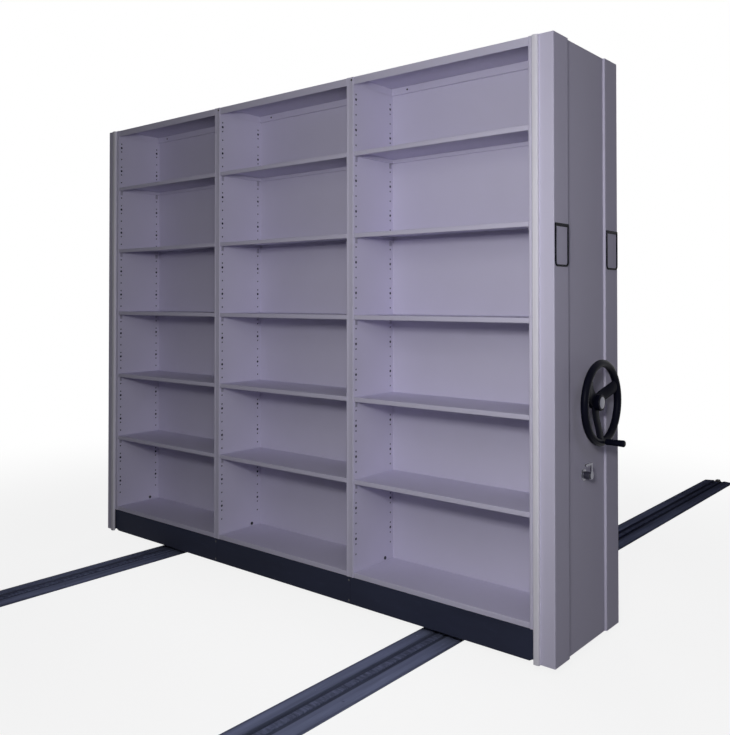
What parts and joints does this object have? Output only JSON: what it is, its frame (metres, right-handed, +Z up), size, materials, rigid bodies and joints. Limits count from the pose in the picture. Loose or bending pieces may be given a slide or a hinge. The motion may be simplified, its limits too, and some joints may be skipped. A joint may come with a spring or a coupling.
{
  "type": "mobile shelving carriage on floor rails",
  "caption": "Double-sided steel shelving carriage that rolls on floor rails, cranked along by a hand wheel on its end panel through a chain drive.",
  "frame": {"origin": "on the floor, midway between the two rails, under the middle of the carriage at rest", "axes": "+X towards the hand wheel end, +Y along the rails from the pictured front to the rear, +Z up"},
  "size_m": [3.006, 4.8, 2.356],
  "materials": {
    "grey_powder_coat": "satin powder coat, lilac grey",
    "black_powder_coat": "satin powder coat, blue black",
    "rail_coat": "dark slate coat, worn",
    "bar_steel": "drawn steel, rolled surface",
    "seal_strip": "pale extruded seal",
    "black_plastic": "moulded, fine grain",
    "chrome": "bright plated",
    "stop_rubber": "matt black buffer",
    "wheel_iron": "turned cast iron",
    "machined_steel": "machined, oiled",
    "zinc_steel": "zinc plated",
    "dark_bolts": "blackened"
  },
  "bodies": {
    "track": {"rail_left": "rail_coat", "rail_right": "rail_coat", "running_bar_left": "bar_steel", "running_bar_right": "bar_steel", "rail_end_stops": "stop_rubber"},
    "carriage": {"kick_beam_front": "black_powder_coat", "kick_beam_rear": "black_powder_coat", "wheel_carrier_left": "black_powder_coat", "wheel_carrier_right": "black_powder_coat", "chassis_end_plates": "black_powder_coat", "chassis_cross_plates": "black_powder_coat", "shaft_bearings": "machined_steel", "idle_axles": "machined_steel", "upright_1": "grey_powder_coat", "upright_2": "grey_powder_coat", "upright_3": "grey_powder_coat", "upright_4": "grey_powder_coat", "back_panel_1": "grey_powder_coat", "back_panel_2": "grey_powder_coat", "back_panel_3": "grey_powder_coat", "top_panel_1": "grey_powder_coat", "top_panel_2": "grey_powder_coat", "top_panel_3": "grey_powder_coat", "top_rails": "grey_powder_coat", "base_deck_1": "grey_powder_coat", "base_deck_2": "grey_powder_coat", "base_deck_3": "grey_powder_coat", "shelves_bay_1": "grey_powder_coat", "shelves_bay_2": "grey_powder_coat", "shelves_bay_3": "grey_powder_coat", "shelf_clips": "zinc_steel", "end_panel_drive": "grey_powder_coat", "end_panel_plain": "grey_powder_coat", "seal_strips_left": "seal_strip", "seal_strips_right": "seal_strip", "card_frames": "black_plastic", "hand_bearing_plate": "zinc_steel", "hand_shaft_bearings": "machined_steel", "counter_plate": "zinc_steel", "chain_upper": "machined_steel", "chain_lower": "machined_steel", "lock_barrel": "chrome", "upright_top_bolts": "dark_bolts", "kick_bolts": "dark_bolts", "foot_bolts": "dark_bolts"},
    "drive_axle": {"drive_shaft": "machined_steel", "drive_wheel_left": "wheel_iron", "drive_wheel_right": "wheel_iron", "axle_sprocket": "machined_steel"},
    "idle_left": {"idle_wheel_left": "wheel_iron"},
    "idle_right": {"idle_wheel_right": "wheel_iron"},
    "counter": {"counter_sprockets": "machined_steel"},
    "hand_wheel": {"hand_wheel": "black_plastic", "hub_cap": "chrome", "hand_wheel_shaft": "machined_steel", "hand_wheel_sprocket": "machined_steel", "crank_pin": "machined_steel"},
    "grip": {"crank_grip": "black_plastic"},
    "lock": {"lock_lever": "chrome", "lock_cam": "machined_steel"}
  },
  "joints": [
    {"name": "carriage_slide", "type": "slide", "parent": "track", "child": "carriage", "axis": [0, 1, 0], "range_m": [-1.085, 3.197]},
    {"name": "drive_axle_turn", "type": "hinge", "parent": "carriage", "child": "drive_axle", "pos_m": [0, -0.17, 0.0773], "axis": [1, 0, 0], "continuous": true},
    {"name": "idle_left_turn", "type": "hinge", "parent": "carriage", "child": "idle_left", "pos_m": [-0.892, 0.17, 0.0773], "axis": [1, 0, 0], "continuous": true},
    {"name": "idle_right_turn", "type": "hinge", "parent": "carriage", "child": "idle_right", "pos_m": [0.892, 0.17, 0.0773], "axis": [1, 0, 0], "continuous": true},
    {"name": "counter_turn", "type": "hinge", "parent": "carriage", "child": "counter", "pos_m": [1.406, 0, 0.33], "axis": [1, 0, 0], "continuous": true},
    {"name": "hand_wheel_turn", "type": "hinge", "parent": "carriage", "child": "hand_wheel", "pos_m": [1.488, 0, 0.977], "axis": [1, 0, 0], "continuous": true},
    {"name": "grip_turn", "type": "hinge", "parent": "hand_wheel", "child": "grip", "pos_m": [1.54, 0, 0.829], "axis": [1, 0, 0], "continuous": true},
    {"name": "lock_turn", "type": "hinge", "parent": "carriage", "child": "lock", "pos_m": [1.45, -0.026, 0.696], "axis": [1, 0, 0], "range_deg": [0, 90]}
  ],
  "couplings": [
    {"joint": "drive_axle_turn", "follows": "carriage_slide", "rad_per_m": -14.493},
    {"joint": "idle_left_turn", "follows": "carriage_slide", "rad_per_m": -14.493},
    {"joint": "idle_right_turn", "follows": "carriage_slide", "rad_per_m": -14.493},
    {"joint": "counter_turn", "follows": "carriage_slide", "rad_per_m": -18.952},
    {"joint": "hand_wheel_turn", "follows": "carriage_slide", "rad_per_m": -56.856}
  ]
}
